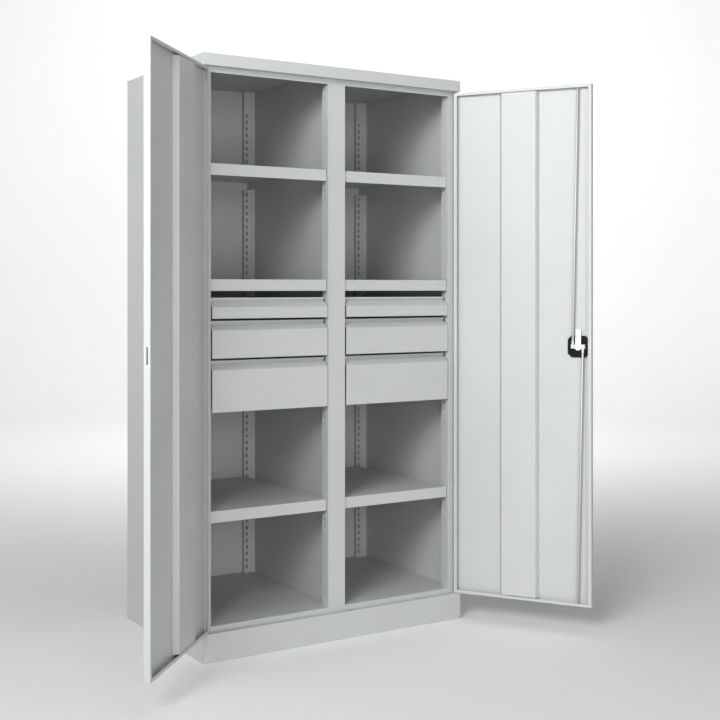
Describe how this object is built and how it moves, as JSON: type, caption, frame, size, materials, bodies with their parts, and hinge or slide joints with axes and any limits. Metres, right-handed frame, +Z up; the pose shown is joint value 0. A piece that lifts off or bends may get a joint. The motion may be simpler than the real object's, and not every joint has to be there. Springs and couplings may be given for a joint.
{
  "type": "heavy-duty cabinet",
  "caption": "Tall sheet-steel cabinet with hinged doors on pivots, adjustable shelves in two bays, a bank of pull-out drawers with folded grips, and a three-point rod lock.",
  "frame": {"origin": "on the floor, at the centre of the carcass's footprint", "axes": "+X to the right seen from the front, +Y from the front to the back, +Z up"},
  "size_m": [1.6306, 1.07, 1.95],
  "materials": {
    "grey_paint": "fine powder coat, satin",
    "zinc": "bright zinc plate",
    "black_fittings": "matt black",
    "bright_cylinder": "bright nickel"
  },
  "bodies": {
    "cabinet": {"back_panel": "grey_paint", "top_cap": "grey_paint", "plinth_frame": "grey_paint", "floor_panel": "grey_paint", "centre_post": "grey_paint", "partition": "grey_paint", "shelf_clips": "zinc", "pivot_pins": "zinc", "left_side_panel": "grey_paint", "left_front_post": "grey_paint", "left_rear_upright": "grey_paint", "centre_left_rear_upright": "grey_paint", "left_upper_shelf": "grey_paint", "left_middle_shelf": "grey_paint", "left_lower_shelf": "grey_paint", "left_top_drawer_runners": "zinc", "left_middle_drawer_runners": "zinc", "left_bottom_drawer_runners": "zinc", "right_side_panel": "grey_paint", "right_front_post": "grey_paint", "right_rear_upright": "grey_paint", "centre_right_rear_upright": "grey_paint", "right_upper_shelf": "grey_paint", "right_middle_shelf": "grey_paint", "right_lower_shelf": "grey_paint", "right_top_drawer_runners": "zinc", "right_middle_drawer_runners": "zinc", "right_bottom_drawer_runners": "zinc"},
    "left_door": {"left_door_pan": "grey_paint", "left_door_stiffener": "grey_paint"},
    "right_door": {"right_door_pan": "grey_paint", "right_door_stiffener": "grey_paint", "lock_plate": "black_fittings"},
    "lock": {"lock_cam": "zinc", "lock_spindle": "zinc", "lock_handle": "black_fittings", "key_cylinder": "bright_cylinder"},
    "upper_rod": {"upper_locking_rod": "zinc"},
    "lower_rod": {"lower_locking_rod": "zinc"},
    "left_top_drawer": {"left_top_drawer_front": "grey_paint", "left_top_drawer_box": "grey_paint", "left_top_drawer_rails": "zinc"},
    "left_middle_drawer": {"left_middle_drawer_front": "grey_paint", "left_middle_drawer_box": "grey_paint", "left_middle_drawer_rails": "zinc"},
    "left_bottom_drawer": {"left_bottom_drawer_front": "grey_paint", "left_bottom_drawer_box": "grey_paint", "left_bottom_drawer_rails": "zinc"},
    "right_top_drawer": {"right_top_drawer_front": "grey_paint", "right_top_drawer_box": "grey_paint", "right_top_drawer_rails": "zinc"},
    "right_middle_drawer": {"right_middle_drawer_front": "grey_paint", "right_middle_drawer_box": "grey_paint", "right_middle_drawer_rails": "zinc"},
    "right_bottom_drawer": {"right_bottom_drawer_front": "grey_paint", "right_bottom_drawer_box": "grey_paint", "right_bottom_drawer_rails": "zinc"}
  },
  "joints": [
    {"name": "left_door_hinge", "type": "hinge", "parent": "cabinet", "child": "left_door", "pos_m": [-0.501, -0.316, 0], "axis": [0, 0, -1], "range_deg": [-133.9, 36.1]},
    {"name": "right_door_hinge", "type": "hinge", "parent": "cabinet", "child": "right_door", "pos_m": [0.501, -0.316, 0], "axis": [0, 0, 1], "range_deg": [-122.1, 47.9]},
    {"name": "lock_turn", "type": "hinge", "parent": "right_door", "child": "lock", "pos_m": [0.74013, -0.6972, 0.995], "axis": [-0.8471, -0.5314, 0], "range_deg": [-90, 0]},
    {"name": "upper_rod_turn", "type": "hinge", "parent": "lock", "child": "upper_rod", "pos_m": [0.72641, -0.68456, 0.995], "axis": [-0.8471, -0.5314, 0], "range_deg": [0, 92]},
    {"name": "lower_rod_turn", "type": "hinge", "parent": "lock", "child": "lower_rod", "pos_m": [0.74554, -0.71506, 0.995], "axis": [-0.8471, -0.5314, 0], "range_deg": [0, 92]},
    {"name": "left_top_drawer_slide", "type": "slide", "parent": "cabinet", "child": "left_top_drawer", "axis": [0, -1, 0], "range_m": [0, 0.43]},
    {"name": "left_middle_drawer_slide", "type": "slide", "parent": "cabinet", "child": "left_middle_drawer", "axis": [0, -1, 0], "range_m": [0, 0.43]},
    {"name": "left_bottom_drawer_slide", "type": "slide", "parent": "cabinet", "child": "left_bottom_drawer", "axis": [0, -1, 0], "range_m": [0, 0.43]},
    {"name": "right_top_drawer_slide", "type": "slide", "parent": "cabinet", "child": "right_top_drawer", "axis": [0, -1, 0], "range_m": [0, 0.43]},
    {"name": "right_middle_drawer_slide", "type": "slide", "parent": "cabinet", "child": "right_middle_drawer", "axis": [0, -1, 0], "range_m": [0, 0.43]},
    {"name": "right_bottom_drawer_slide", "type": "slide", "parent": "cabinet", "child": "right_bottom_drawer", "axis": [0, -1, 0], "range_m": [0, 0.43]}
  ],
  "couplings": [
    {"joint": "upper_rod_turn", "follows": "lock_turn", "ratio": -1.0126},
    {"joint": "lower_rod_turn", "follows": "lock_turn", "ratio": -1.0127}
  ]
}
